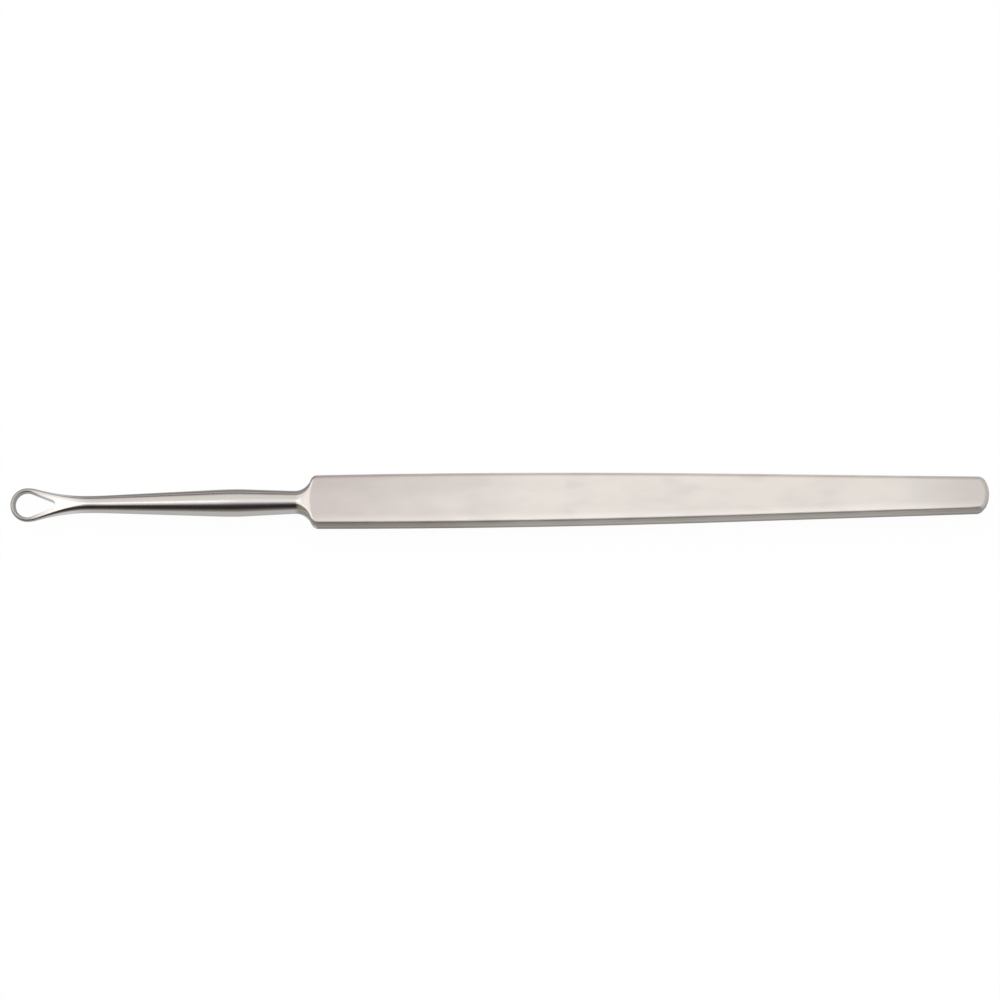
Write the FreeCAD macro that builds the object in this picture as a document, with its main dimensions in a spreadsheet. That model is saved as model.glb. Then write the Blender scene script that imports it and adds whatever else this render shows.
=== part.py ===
"""Ring curette, forged and ground from one steel bar, in millimetres.

A flat tapered handle, a round shank that swells to a belly, and a flattened ring with a teardrop
hole. Stations are distances from the ring's tip, along X. The instrument lies on the handle's flat
underside, and the shank's axis runs through the middle of the handle's thickness.
"""
import FreeCAD
import Part
import Sketcher
import math
import os

SIZES = (
    ("overall_length", 145.0),
    ("handle_thickness", 4.15),
    ("front_width", 7.62),
    ("rear_width", 5.18),
    ("widest_station", 64.0),
    ("taper_station", 106.0),
    ("end_radius", 4.0),
    ("end_corner_radius", 1.3),
    ("edge_radius", 0.75),
    ("shoulder_station", 45.5),
    ("shoulder_length", 3.15),
    ("shoulder_corner_radius", 1.0),
    ("belly_clearance", 0.025),
    ("belly_station", 33.5),
    ("belly_front_radius", 68.0),
    ("belly_back_radius", 28.0),
    ("root_sweep_radius", 26.0),
    ("shank_swell", 0.33),
    ("neck_station", 11.6),
    ("neck_diameter", 2.54),
    ("neck_sweep_radius", 65.0),
    ("flank_radius", 5.5),
    ("ring_width", 5.0),
    ("ring_height", 1.0),
    ("ring_edge_radius", 0.35),
    ("hole_width", 3.56),
    ("hole_length", 5.8),
    ("hole_tip_radius", 0.45),
    ("hole_draft", 9.0),
    ("draft_start", -0.45),
)

# Where the lofted sections stand, as shares of the turn of each arc of an S-curve
HOLLOW_SHARES = (0.35, 0.65, 1.0)
CORNER_SHARES = (0.6, 0.3, 0.0)
FLANK_SHARES = (0.2, 0.4, 0.6, 0.8, 1.0)
RING_SHARES = (0.5, 0.0)

# Where a round section is split to meet the flats and corners of the next, in degrees
ROOT_SPLITS = (10.0, 75.0)
NECK_SPLITS = (1.0, 85.0)

FLAT = 1e-5

doc = FreeCAD.newDocument("curette")
sheet = doc.addObject("Spreadsheet::Sheet", "Sizes")
for row, (alias, value) in enumerate(SIZES, start=1):
    sheet.set(f"A{row}", alias.replace("_", " "))
    sheet.set(f"B{row}", str(value))
    sheet.setAlias(f"B{row}", alias)
doc.recompute()

body = doc.addObject("PartDesign::Body", "Curette")
body.Label = "curette"


def cell(alias):
    return f"Sizes.{alias}"


def worth(text):
    """The number that an expression on the sheet comes to."""
    value = body.evalExpression(text)
    return float(getattr(value, "Value", value))


def point(x, y):
    return FreeCAD.Vector(x, y, 0)


def arc(centre, radius, start, end):
    """An anticlockwise arc between two angles in degrees."""
    circle = Part.Circle(centre, FreeCAD.Vector(0, 0, 1), radius)
    return Part.ArcOfCircle(circle, math.radians(start), math.radians(end))


def line(start, end):
    return Part.LineSegment(start, end)


def new_sketch(name, role, axis=None, offset=None):
    """A sketch on one of the body's origin planes, moved along one of its own axes."""
    plane = next(plane for plane in body.Origin.OriginFeatures if plane.Role == role)
    sketch = body.newObject("Sketcher::SketchObject", name)
    sketch.AttachmentSupport = [(plane, "")]
    sketch.MapMode = "FlatFace"
    if axis:
        sketch.setExpression(f"AttachmentOffset.Base.{axis}", offset)
    return sketch


def constrain(sketch, kind, *where):
    return sketch.addConstraint(Sketcher.Constraint(kind, *where))


def dimension(sketch, text, kind, *where):
    """A size of a sketch, bound to an expression."""
    index = constrain(sketch, kind, *where, worth(text))
    sketch.setExpression(f"Constraints[{index}]", text)


class SCurve:
    """Two tangent arcs that ease one half-width into another, as expressions on the sheet.

    The concave arc starts level at the low end, and the convex arc ends level at the high end.
    """

    def __init__(self, low, high, start, length, convex_radius, towards):
        self.low = low
        self.high = high
        self.start = start
        self.towards = towards
        self.convex_radius = convex_radius
        self.turn = f"2 * atan((({high}) - ({low})) / ({length}))"
        self.concave_radius = f"(({length}) / sin({self.turn}) - ({convex_radius}))"
        self.length = length

    def station(self, distance):
        return f"{self.start} {self.towards} ({distance})"

    def concave(self, share):
        """Station and half-width on the concave arc, at a share of its turn."""
        angle = f"{share} * {self.turn}"
        along = f"{self.concave_radius} * sin({angle})"
        return self.station(along), f"{self.low} + {self.concave_radius} * (1 - cos({angle}))"

    def convex(self, share):
        """Station and half-width on the convex arc, at a share of its turn."""
        angle = f"{share} * {self.turn}"
        along = f"{self.length} - ({self.convex_radius}) * sin({angle})"
        return self.station(along), f"{self.high} - ({self.convex_radius}) * (1 - cos({angle}))"


half_thickness = f"{cell('handle_thickness')} / 2"
belly_radius = f"({half_thickness} - {cell('belly_clearance')})"
root_radius = f"({belly_radius} - {cell('shank_swell')})"
root_station = f"({cell('shoulder_station')} - {cell('shoulder_length')})"
neck_radius = f"({cell('neck_diameter')} / 2)"
ring_radius = f"({cell('ring_width')} / 2)"
ring_half_height = f"({cell('ring_height')} / 2)"


# Handle: crowned sides that run into a straight taper, and a rounded rear end

def handle_outline():
    sketch = new_sketch("HandleOutline", "XY_Plane")
    front = worth(cell("front_width")) / 2
    rear = worth(cell("rear_width")) / 2
    start = worth(cell("shoulder_station"))
    widest = worth(cell("widest_station"))
    taper = worth(cell("taper_station"))
    end_radius = worth(cell("end_radius"))
    end_centre = worth(cell("overall_length")) - end_radius
    corner = end_centre + math.sqrt(end_radius ** 2 - rear ** 2)
    end_turn = math.degrees(math.asin(rear / end_radius))
    crown = (widest - start) ** 2 / (2 * (taper - widest))
    slope = (front - rear) / ((taper - widest) / 2 + corner - taper - crown)
    turn = math.atan(slope)
    side_radius = (taper - widest) / math.sin(turn)
    side_centre = front - math.sqrt(side_radius ** 2 - (widest - start) ** 2)
    taper_half = side_centre + side_radius * math.cos(turn)
    front_angle = math.degrees(math.asin((widest - start) / side_radius))
    back_angle = math.degrees(turn)

    upper_side = sketch.addGeometry(
        arc(point(widest, side_centre), side_radius, 90 - back_angle, 90 + front_angle))
    upper_taper = sketch.addGeometry(line(point(taper, taper_half), point(corner, rear)))
    end = sketch.addGeometry(arc(point(end_centre, 0), end_radius, -end_turn, end_turn))
    lower_taper = sketch.addGeometry(line(point(corner, -rear), point(taper, -taper_half)))
    lower_side = sketch.addGeometry(
        arc(point(widest, -side_centre), side_radius, 270 - front_angle, 270 + back_angle))
    front_edge = sketch.addGeometry(line(point(start, -front), point(start, front)))

    constrain(sketch, "Tangent", upper_side, 1, upper_taper, 1)
    constrain(sketch, "Coincident", upper_taper, 2, end, 2)
    constrain(sketch, "Coincident", end, 1, lower_taper, 1)
    constrain(sketch, "Coincident", lower_taper, 2, lower_side, 2)
    constrain(sketch, "Coincident", lower_side, 1, front_edge, 1)
    constrain(sketch, "Coincident", front_edge, 2, upper_side, 2)
    constrain(sketch, "Symmetric", front_edge, 1, front_edge, 2, -1)
    constrain(sketch, "Symmetric", upper_side, 1, lower_side, 2, -1)
    constrain(sketch, "Equal", upper_side, lower_side)
    constrain(sketch, "PointOnObject", end, 3, -1)
    constrain(sketch, "Symmetric", end, 1, end, 2, -1)
    dimension(sketch, cell("shoulder_station"), "DistanceX", -1, 1, front_edge, 2)
    dimension(sketch, cell("front_width"), "DistanceY", front_edge, 1, front_edge, 2)
    dimension(sketch, cell("widest_station"), "DistanceX", -1, 1, upper_side, 3)
    dimension(sketch, cell("taper_station"), "DistanceX", -1, 1, upper_side, 1)
    dimension(sketch, cell("end_radius"), "Radius", end)
    dimension(sketch, f"{cell('overall_length')} - {cell('end_radius')}", "DistanceX", -1, 1, end, 3)
    dimension(sketch, cell("rear_width"), "DistanceY", end, 1, end, 2)
    return sketch


def fillet(name, base, edges, radius):
    feature = body.newObject("PartDesign::Fillet", name)
    feature.Base = (base, [f"Edge{index}" for index in edges])
    feature.setExpression("Radius", cell(radius))
    doc.recompute()
    return feature


def upright_edges(shape, station):
    """Edges square to the handle's two faces, past a station."""
    return [k for k, edge in enumerate(shape.Edges, start=1)
            if edge.BoundBox.XMin > station and edge.BoundBox.XLength < FLAT
            and edge.BoundBox.YLength < FLAT]


def face_edges(shape, station):
    """Edges round the handle's two faces that reach past a station."""
    return [k for k, edge in enumerate(shape.Edges, start=1)
            if edge.BoundBox.ZLength < FLAT and edge.BoundBox.XMax > station + FLAT]


def handle():
    pad = body.newObject("PartDesign::Pad", "Handle")
    pad.Profile = handle_outline()
    pad.SideType = "Symmetric"
    pad.setExpression("Length", cell("handle_thickness"))
    doc.recompute()
    upright = upright_edges(pad.Shape, worth(cell("taper_station")))
    corners = fillet("EndCorners", pad, upright, "end_corner_radius")
    around = face_edges(corners.Shape, worth(cell("shoulder_station")))
    fillet("HandleEdges", corners, around, "edge_radius")


# Sections across the instrument, through which the shoulder and the ring's flanks are lofted

def flat_section(name, station, half_width, half_height, corner):
    """A rounded rectangle on a plane square to the axis."""
    sketch = new_sketch(name, "YZ_Plane", "z", station)
    width, height, radius = worth(half_width), worth(half_height), worth(corner)
    across, up = width - radius, height - radius
    parts = [sketch.addGeometry(shape) for shape in (
        line(point(width, -up), point(width, up)),
        arc(point(across, up), radius, 0, 90),
        line(point(across, height), point(-across, height)),
        arc(point(-across, up), radius, 90, 180),
        line(point(-width, up), point(-width, -up)),
        arc(point(-across, -up), radius, 180, 270),
        line(point(-across, -height), point(across, -height)),
        arc(point(across, -up), radius, 270, 360),
    )]
    for part, following in zip(parts, parts[1:] + parts[:1]):
        constrain(sketch, "Tangent", part, 2, following, 1)
    right, upper, left, lower = parts[0::2]
    constrain(sketch, "Symmetric", right, 1, right, 2, -1)
    constrain(sketch, "Symmetric", upper, 1, upper, 2, -2)
    constrain(sketch, "Symmetric", right, 1, left, 2, -2)
    constrain(sketch, "Symmetric", upper, 1, lower, 2, -1)
    constrain(sketch, "Equal", parts[1], parts[3])
    dimension(sketch, half_width, "DistanceX", -1, 1, right, 2)
    dimension(sketch, half_height, "DistanceY", -1, 1, upper, 1)
    dimension(sketch, corner, "Radius", parts[1])
    return sketch


def round_section(name, station, radius, quarter):
    """A circle in eight arcs, one for each flat and corner of a flat section."""
    sketch = new_sketch(name, "YZ_Plane", "z", station)
    mirrored = tuple(reversed(quarter))
    splits = [-quarter[0], *quarter, *(180 - split for split in mirrored)]
    splits += [*(180 + split for split in quarter), *(360 - split for split in mirrored)]
    parts = [sketch.addGeometry(arc(point(0, 0), worth(radius), start, end))
             for start, end in zip(splits, splits[1:])]
    for part, following in zip(parts, parts[1:] + parts[:1]):
        constrain(sketch, "Coincident", part, 2, following, 1)
    for part in parts[:-1]:
        constrain(sketch, "Coincident", part, 3, -1, 1)
    constrain(sketch, "PointOnObject", parts[-1], 3, -1)
    for part, start, end in zip(parts[1:], splits[1:], splits[2:]):
        constrain(sketch, "Angle", part, math.radians(end - start))
    constrain(sketch, "Symmetric", parts[0], 1, parts[0], 2, -1)
    dimension(sketch, radius, "Radius", parts[0])
    return sketch


def loft(name, sections, kind="PartDesign::AdditiveLoft"):
    feature = body.newObject(kind, name)
    feature.Profile = sections[0]
    feature.Sections = sections[1:]
    feature.Ruled = kind == "PartDesign::SubtractiveLoft"
    doc.recompute()
    return feature


# Shoulder: the shank's round root flares into the handle's flat front

def shoulder():
    curve = SCurve(root_radius, f"{cell('front_width')} / 2", root_station,
                   cell("shoulder_length"), cell("shoulder_corner_radius"), "+")

    def corner(station):
        gone = f"({station} - {root_station}) / {cell('shoulder_length')}"
        return f"{root_radius} + ({cell('edge_radius')} - {root_radius}) * {gone}"

    hollow = [round_section("ShoulderRoot", root_station, root_radius, ROOT_SPLITS)]
    for k, share in enumerate(HOLLOW_SHARES, start=1):
        station, half_width = curve.concave(share)
        climb = f"(sin({share} * {curve.turn}) / sin({curve.turn})) ^ 2"
        half_height = f"{root_radius} + ({half_thickness} - {root_radius}) * {climb}"
        hollow.append(flat_section(f"Hollow{k}", station, half_width, half_height, corner(station)))
    loft("ShoulderHollow", hollow)
    rounded = [hollow[-1]]
    for k, share in enumerate(CORNER_SHARES, start=1):
        station, half_width = curve.convex(share)
        rounded.append(
            flat_section(f"Corner{k}", station, half_width, half_thickness, corner(station)))
    loft("ShoulderCorners", rounded)


# Shank: turned about the axis, in two tapers from the neck up to the belly and down to the root

def taper_turn(over, rise, radii):
    """Slope of the straight between two arcs that curve opposite ways, in degrees."""
    slack = radii - rise
    return math.degrees(math.atan2(over, slack) - math.acos(radii / math.hypot(over, slack)))


def shank():
    sketch = new_sketch("ShankProfile", "XZ_Plane")
    neck = point(worth(cell("neck_station")), worth(neck_radius))
    belly = point(worth(cell("belly_station")), worth(belly_radius))
    root = point(worth(root_station), worth(root_radius))
    sweep, front = worth(cell("neck_sweep_radius")), worth(cell("belly_front_radius"))
    back, hollow = worth(cell("belly_back_radius")), worth(cell("root_sweep_radius"))
    rise = taper_turn(belly.x - neck.x, belly.y - neck.y, sweep + front)
    fall = taper_turn(root.x - belly.x, belly.y - root.y, back + hollow)

    def on_arc(centre, radius, turn):
        angle = math.radians(turn)
        return centre + point(radius * math.cos(angle), radius * math.sin(angle))

    neck_centre, front_centre = neck + point(0, sweep), belly - point(0, front)
    back_centre, root_centre = belly - point(0, back), root + point(0, hollow)
    parts = [sketch.addGeometry(shape) for shape in (
        arc(neck_centre, sweep, 270, 270 + rise),
        line(on_arc(neck_centre, sweep, 270 + rise), on_arc(front_centre, front, 90 + rise)),
        arc(front_centre, front, 90, 90 + rise),
        arc(back_centre, back, 90 - fall, 90),
        line(on_arc(back_centre, back, 90 - fall), on_arc(root_centre, hollow, 270 - fall)),
        arc(root_centre, hollow, 270 - fall, 270),
        line(root, point(root.x, 0)),
        line(point(root.x, 0), point(neck.x, 0)),
        line(point(neck.x, 0), neck),
    )]
    neck_arc, front_taper, front_arc, back_arc, back_taper, root_arc, root_face, axis, neck_face = parts
    constrain(sketch, "Tangent", neck_arc, 2, front_taper, 1)
    constrain(sketch, "Tangent", front_taper, 2, front_arc, 2)
    constrain(sketch, "Coincident", front_arc, 1, back_arc, 2)
    constrain(sketch, "Tangent", back_arc, 1, back_taper, 1)
    constrain(sketch, "Tangent", back_taper, 2, root_arc, 1)
    constrain(sketch, "Coincident", root_arc, 2, root_face, 1)
    constrain(sketch, "Coincident", root_face, 2, axis, 1)
    constrain(sketch, "Coincident", axis, 2, neck_face, 1)
    constrain(sketch, "Coincident", neck_face, 2, neck_arc, 1)
    constrain(sketch, "PointOnObject", axis, 1, -1)
    constrain(sketch, "PointOnObject", axis, 2, -1)
    constrain(sketch, "Vertical", root_face)
    constrain(sketch, "Vertical", neck_face)
    constrain(sketch, "Vertical", neck_arc, 1, neck_arc, 3)
    constrain(sketch, "Vertical", front_arc, 1, front_arc, 3)
    constrain(sketch, "Vertical", back_arc, 2, back_arc, 3)
    constrain(sketch, "Vertical", root_arc, 2, root_arc, 3)
    dimension(sketch, cell("neck_station"), "DistanceX", -1, 1, axis, 2)
    dimension(sketch, neck_radius, "DistanceY", axis, 2, neck_arc, 1)
    dimension(sketch, cell("belly_station"), "DistanceX", -1, 1, front_arc, 1)
    dimension(sketch, belly_radius, "DistanceY", -1, 1, front_arc, 1)
    dimension(sketch, root_station, "DistanceX", -1, 1, axis, 1)
    dimension(sketch, root_radius, "DistanceY", axis, 1, root_arc, 2)
    dimension(sketch, cell("neck_sweep_radius"), "Radius", neck_arc)
    dimension(sketch, cell("belly_front_radius"), "Radius", front_arc)
    dimension(sketch, cell("belly_back_radius"), "Radius", back_arc)
    dimension(sketch, cell("root_sweep_radius"), "Radius", root_arc)
    turned = body.newObject("PartDesign::Revolution", "Shank")
    turned.Profile = sketch
    turned.ReferenceAxis = (sketch, ["H_Axis"])
    turned.Angle = 360
    doc.recompute()


# Ring: flanks lofted from the round neck to the flat ring, and a turned front half

def flanks():
    curve = SCurve(neck_radius, ring_radius, cell("neck_station"),
                   f"({cell('neck_station')} - {ring_radius})", cell("flank_radius"), "-")
    ring_corner = cell("ring_edge_radius")
    sections = [round_section("Neck", cell("neck_station"), neck_radius, NECK_SPLITS)]
    places = [curve.concave(share) for share in FLANK_SHARES]
    places += [curve.convex(share) for share in RING_SHARES]
    for k, (station, half_width) in enumerate(places, start=1):
        gone = f"({cell('neck_station')} - ({station})) / {curve.length}"
        eased = f"((1 - cos(180 * {gone})) / 2)"
        half_height = f"{neck_radius} + ({ring_half_height} - {neck_radius}) * {eased}"
        corner = f"{neck_radius} + ({ring_corner} - {neck_radius}) * {eased}"
        sections.append(flat_section(f"Flank{k}", station, half_width, half_height, corner))
    loft("Flanks", sections)


def ring_front():
    sketch = new_sketch("RingSection", "XZ_Plane", "x", ring_radius)
    radius, up = worth(ring_radius), worth(ring_half_height)
    corner = worth(cell("ring_edge_radius"))
    parts = [sketch.addGeometry(shape) for shape in (
        line(point(0, -up), point(0, up)),
        line(point(0, up), point(corner - radius, up)),
        arc(point(corner - radius, up - corner), corner, 90, 180),
        line(point(-radius, up - corner), point(-radius, corner - up)),
        arc(point(corner - radius, corner - up), corner, 180, 270),
        line(point(corner - radius, -up), point(0, -up)),
    )]
    middle, top, upper, rim, lower, under = parts
    for part, following in zip(parts[1:], parts[2:]):
        constrain(sketch, "Tangent", part, 2, following, 1)
    constrain(sketch, "Coincident", middle, 2, top, 1)
    constrain(sketch, "Coincident", under, 2, middle, 1)
    constrain(sketch, "PointOnObject", middle, 1, -2)
    constrain(sketch, "Symmetric", middle, 1, middle, 2, -1)
    constrain(sketch, "Symmetric", rim, 1, rim, 2, -1)
    constrain(sketch, "Horizontal", top)
    constrain(sketch, "Horizontal", under)
    dimension(sketch, ring_radius, "DistanceX", rim, 1, -1, 1)
    dimension(sketch, cell("ring_height"), "DistanceY", middle, 1, middle, 2)
    dimension(sketch, cell("ring_edge_radius"), "Radius", upper)
    turned = body.newObject("PartDesign::Revolution", "RingFront")
    turned.Profile = sketch
    turned.ReferenceAxis = (sketch, ["V_Axis"])
    turned.Midplane = True
    turned.Angle = 180
    doc.recompute()


def teardrop(name, lift, grown):
    """The hole's outline on a plane above the middle, with every edge moved out by a distance."""
    sketch = new_sketch(name, "XY_Plane", "z", lift)
    tip = f"({cell('hole_tip_radius')} + {grown})"
    front = f"({cell('hole_width')} / 2 + {grown})"
    tip_station = f"({ring_radius} - {cell('hole_width')} / 2 + {cell('hole_length')}" \
                  f" - {cell('hole_tip_radius')})"
    front_centre, tip_centre = point(worth(ring_radius), 0), point(worth(tip_station), 0)
    big, small = worth(front), worth(tip)
    lean = math.degrees(math.acos((big - small) / (tip_centre.x - front_centre.x)))
    edge = point(math.cos(math.radians(lean)), math.sin(math.radians(lean)))
    mirrored = point(edge.x, -edge.y)
    parts = [sketch.addGeometry(shape) for shape in (
        arc(front_centre, big, lean, 360 - lean),
        line(front_centre + mirrored * big, tip_centre + mirrored * small),
        arc(tip_centre, small, -lean, lean),
        line(tip_centre + edge * small, front_centre + edge * big),
    )]
    for part, following in zip(parts, parts[1:] + parts[:1]):
        constrain(sketch, "Tangent", part, 2, following, 1)
    constrain(sketch, "PointOnObject", parts[0], 3, -1)
    constrain(sketch, "PointOnObject", parts[2], 3, -1)
    dimension(sketch, ring_radius, "DistanceX", -1, 1, parts[0], 3)
    dimension(sketch, tip_station, "DistanceX", -1, 1, parts[2], 3)
    dimension(sketch, front, "Radius", parts[0])
    dimension(sketch, tip, "Radius", parts[2])
    return sketch


def hole():
    pocket = body.newObject("PartDesign::Pocket", "Hole")
    pocket.Profile = teardrop("HoleOutline", "0", "0")
    pocket.Type = "ThroughAll"
    pocket.SideType = "Symmetric"
    doc.recompute()
    draft_height = f"({neck_radius} - {cell('draft_start')})"
    mouth = teardrop("DraftMouth", neck_radius, f"{draft_height} * tan({cell('hole_draft')})")
    foot = teardrop("DraftFoot", cell("draft_start"), "0")
    loft("HoleDraft", [foot, mouth], "PartDesign::SubtractiveLoft")


handle()
shoulder()
shank()
flanks()
ring_front()
solid_volume = body.Shape.Volume
hole()
body.Placement = FreeCAD.Placement(
    FreeCAD.Vector(-worth(cell("overall_length")) / 2, 0, worth(half_thickness)), FreeCAD.Rotation())
doc.recompute()

for item in doc.Objects:
    if "Invalid" in item.State or "Error" in item.State:
        raise RuntimeError(f"{item.Name} failed: {item.State}")
if body.Shape.isNull() or not body.Shape.isValid() or len(body.Shape.Solids) != 1:
    raise RuntimeError("the curette is not one valid solid")
if body.Shape.Volume >= solid_volume:
    raise RuntimeError("the hole cut nothing")

os.makedirs("parts", exist_ok=True)
body.Shape.exportStep(f"parts/{body.Label}.step")
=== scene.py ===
"""Ring curette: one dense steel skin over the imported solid, its finish and the stage.

Laid out as a Blender add-on and run as a script. Lengths are in metres. A station is the distance
from the ring's tip along the instrument, and heights are taken from its middle plane.
"""
import math

import bmesh
import bpy
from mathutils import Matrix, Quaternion, Vector


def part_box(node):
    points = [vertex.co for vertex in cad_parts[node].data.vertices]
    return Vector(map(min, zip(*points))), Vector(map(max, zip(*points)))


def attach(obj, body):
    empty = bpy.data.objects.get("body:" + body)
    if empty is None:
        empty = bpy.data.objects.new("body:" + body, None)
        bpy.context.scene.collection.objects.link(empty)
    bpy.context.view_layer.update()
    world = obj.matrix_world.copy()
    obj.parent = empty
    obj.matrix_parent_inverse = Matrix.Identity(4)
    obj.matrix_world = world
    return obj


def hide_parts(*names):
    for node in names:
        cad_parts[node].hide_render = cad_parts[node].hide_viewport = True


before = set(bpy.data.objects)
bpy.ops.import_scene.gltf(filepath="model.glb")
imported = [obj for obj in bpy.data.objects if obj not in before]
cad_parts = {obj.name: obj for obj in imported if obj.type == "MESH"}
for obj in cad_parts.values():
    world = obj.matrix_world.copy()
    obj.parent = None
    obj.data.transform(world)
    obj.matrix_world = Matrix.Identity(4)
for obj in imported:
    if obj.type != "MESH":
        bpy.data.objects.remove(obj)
LOWEST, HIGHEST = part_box("curette")
MM = 0.001

bl_info = {
    "name": "Ring Curette",
    "version": (1, 0, 0),
    "blender": (4, 5, 0),
    "location": "View3D > Sidebar > Curette",
    "description": "Builds a one-piece steel ring curette and the stage that it lies on",
    "category": "Object",
}


def length(name, description, millimetres):
    return bpy.props.FloatProperty(
        name=name, description=description, default=millimetres * MM, subtype="DISTANCE", unit="LENGTH",
        precision=5)


def colour(name, description, default):
    return bpy.props.FloatVectorProperty(
        name=name, description=description, default=default, subtype="COLOR", size=3, min=0, max=1)


def share(name, description, default):
    return bpy.props.FloatProperty(
        name=name, description=description, default=default, subtype="FACTOR", min=0, max=1)


class HandleSizes(bpy.types.PropertyGroup):
    overall: bpy.props.FloatProperty(
        name="Overall length", description="From the ring's tip to the handle's rear end",
        default=HIGHEST[0] - LOWEST[0], subtype="DISTANCE", unit="LENGTH", precision=5)
    thickness: bpy.props.FloatProperty(
        name="Thickness", description="Between the handle's two flat faces",
        default=HIGHEST[2] - LOWEST[2], subtype="DISTANCE", unit="LENGTH", precision=5)
    front_width: length("Front width", "Width behind the shoulder", 7.62)
    rear_width: length("Rear width", "Width where the sides meet the end's arc", 5.18)
    widest: length("Widest station", "Where the crowned sides are furthest apart", 64.0)
    taper: length("Taper station", "Where the crown runs into the straight taper", 106.0)
    end_radius: length("End radius", "Radius of the rear end seen from above", 4.0)
    end_corner: length("End corner", "Radius between the rear end and the sides", 1.3)
    edge: length("Edge radius", "Rounding along the edges of the flat faces", 0.75)


class ShankSizes(bpy.types.PropertyGroup):
    shoulder: length("Shoulder station", "Where the handle's full width begins", 45.5)
    shoulder_length: length("Shoulder length", "Length of the flare", 3.15)
    shoulder_corner: length("Shoulder corner", "Radius of the handle's front corners", 1.0)
    belly: length("Belly station", "Where the shank is thickest", 33.5)
    belly_clearance: length("Belly clearance", "How far the belly stays inside the thickness", 0.025)
    belly_front: length("Belly front radius", "Curve in front of the belly", 68.0)
    belly_back: length("Belly back radius", "Curve behind the belly", 28.0)
    root_sweep: length("Root sweep radius", "Curve where the shank levels out at the shoulder", 26.0)
    swell: length("Swell", "How much the radius drops from the belly to the shoulder", 0.33)
    neck: length("Neck station", "Where the shank is thinnest", 11.6)
    neck_diameter: length("Neck diameter", "Diameter at the neck", 2.54)
    neck_sweep: length("Neck sweep radius", "Curve from the neck towards the belly", 65.0)


class RingSizes(bpy.types.PropertyGroup):
    width: length("Ring width", "Across the outside of the ring", 5.0)
    height: length("Ring height", "Thickness of the ring", 1.0)
    flank: length("Flank radius", "Curve where the flanks leave the ring's sides", 5.5)
    edge: length("Ring edge radius", "Rounding of the ring's outer edges", 0.35)
    hole_width: length("Hole width", "Across the round front of the hole", 3.56)
    hole_length: length("Hole length", "From the hole's front to its tip", 5.8)
    hole_tip: length("Hole tip radius", "Radius of the hole's rear tip", 0.45)
    draft: bpy.props.FloatProperty(
        name="Hole draft", description="Lean of the hole's wall, from upright",
        default=math.radians(9), subtype="ANGLE", unit="ROTATION")
    draft_start: length("Draft start", "Height where the lean begins, from the middle", -0.45)
    lip: length("Lip", "Rounding of the hole's upper lip at the front", 0.24)
    rear_lip: length("Rear lip", "Rounding of the hole's upper lip at its rear tip", 0.03)
    lip_fade: length("Lip fade", "Length over which the lip's rounding shrinks", 2.4)
    joint: length("Joint", "How far behind the hole the ring's sheets meet the round body", 1.6)


class Finish(bpy.types.PropertyGroup):
    polished: colour("Polished steel", "Reflected colour of the shank", (0.45, 0.435, 0.42))
    flanks: colour("Polished flanks", "Brighter tone of the neck and the ring's flanks", (0.6, 0.588, 0.582))
    ring_front: colour("Ring front", "Duller tone of the ring's round front", (0.3, 0.293, 0.285))
    satin: colour("Satin steel", "Reflected colour of the ground faces", (0.518, 0.494, 0.47))
    satin_front: colour("Satin front", "Rosier tone towards the shoulder", (0.402, 0.369, 0.36))
    satin_rear: colour("Satin rear", "Duller tone at the rear end", (0.418, 0.393, 0.38))
    edge_tint: colour("Grazing tint", "Reflected colour at grazing angles", (0.75, 0.74, 0.73))
    polished_roughness: share("Polish", "Roughness of the polished steel", 0.17)
    ring_roughness: share("Ring roughness", "Roughness added at the ring's round front", 0.16)
    satin_roughness: share("Satin", "Roughness of the ground faces", 0.36)
    side_roughness: share("Side roughness", "Roughness added on the handle's sides", 0.42)
    grain: share("Grain", "Depth of the grinding lines on the faces", 0.35)
    grain_tone: share("Grain tone", "How much the grinding lines show in the tone", 0.06)
    clouds: share("Clouds", "Drift of the ground faces' tone", 0.14)
    blush: share("Blush", "Patches of the front tone over the ground faces", 0.3)
    # Painted shade taken from the handle's sides, and painted light given back on the far side and at the
    # rear end.
    painted_side_shade: share("Near side", "Tone taken from the handle's near side", 0.12)
    painted_far_side_light: share("Far side", "Tone given back towards the far side", 0.45)
    # Painted shade on the lower part of the handle's near side.
    painted_low_shade: share("Low side", "Tone taken from the lower part of the near side", 0.28)
    # Painted highlight along the near edge of the faces.
    painted_near_highlight: share("Near strip", "Tone added along the near edge of the faces", 0.17)
    # Painted shade on the faces' far side near the shoulder.
    painted_far_shade: share("Far strip", "Tone taken from the faces' far side at the shoulder", 0.08)
    # Painted highlight: a bright line where the near side meets the face, stronger towards the rear end.
    painted_edge_highlight: share("Edge line", "Bright line where the near side meets the face, at the shoulder", 0.2)
    painted_edge_highlight_gain: share("Edge line gain", "How much that line brightens towards the rear end", 0.3)
    # Painted shade along the shank's far side and under the near side of the shoulder's flare.
    painted_shank_shade: share("Shank shade", "Tone taken along the far side of the shank", 0.62)
    painted_flare_shade: share("Flare shade", "Tone taken under the near side of the shoulder's flare", 0.42)


class StageSettings(bpy.types.PropertyGroup):
    elevation: bpy.props.FloatProperty(
        name="Camera elevation", description="Angle of the camera above the floor",
        default=math.radians(81), subtype="ANGLE", unit="ROTATION")
    roll: bpy.props.FloatProperty(
        name="Camera roll", description="Turn of the picture, rear end upwards",
        default=math.radians(0.59), subtype="ANGLE", unit="ROTATION")
    distance: length("Camera distance", "From the camera to the instrument's middle", 550.0)
    picture_width: length("Picture width", "Width of the view at the instrument", 148.33)
    ahead: length("Camera ahead", "How far the camera stands towards the rear end", 0.11)
    beyond: length("Camera beyond", "How far the camera stands across the instrument", 0.04)
    floor: colour("Floor", "Colour of the plain floor", (0.93, 0.93, 0.925))
    floor_white: share("Floor white", "Share of plain white that the camera and reflections see", 0.96)


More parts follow.
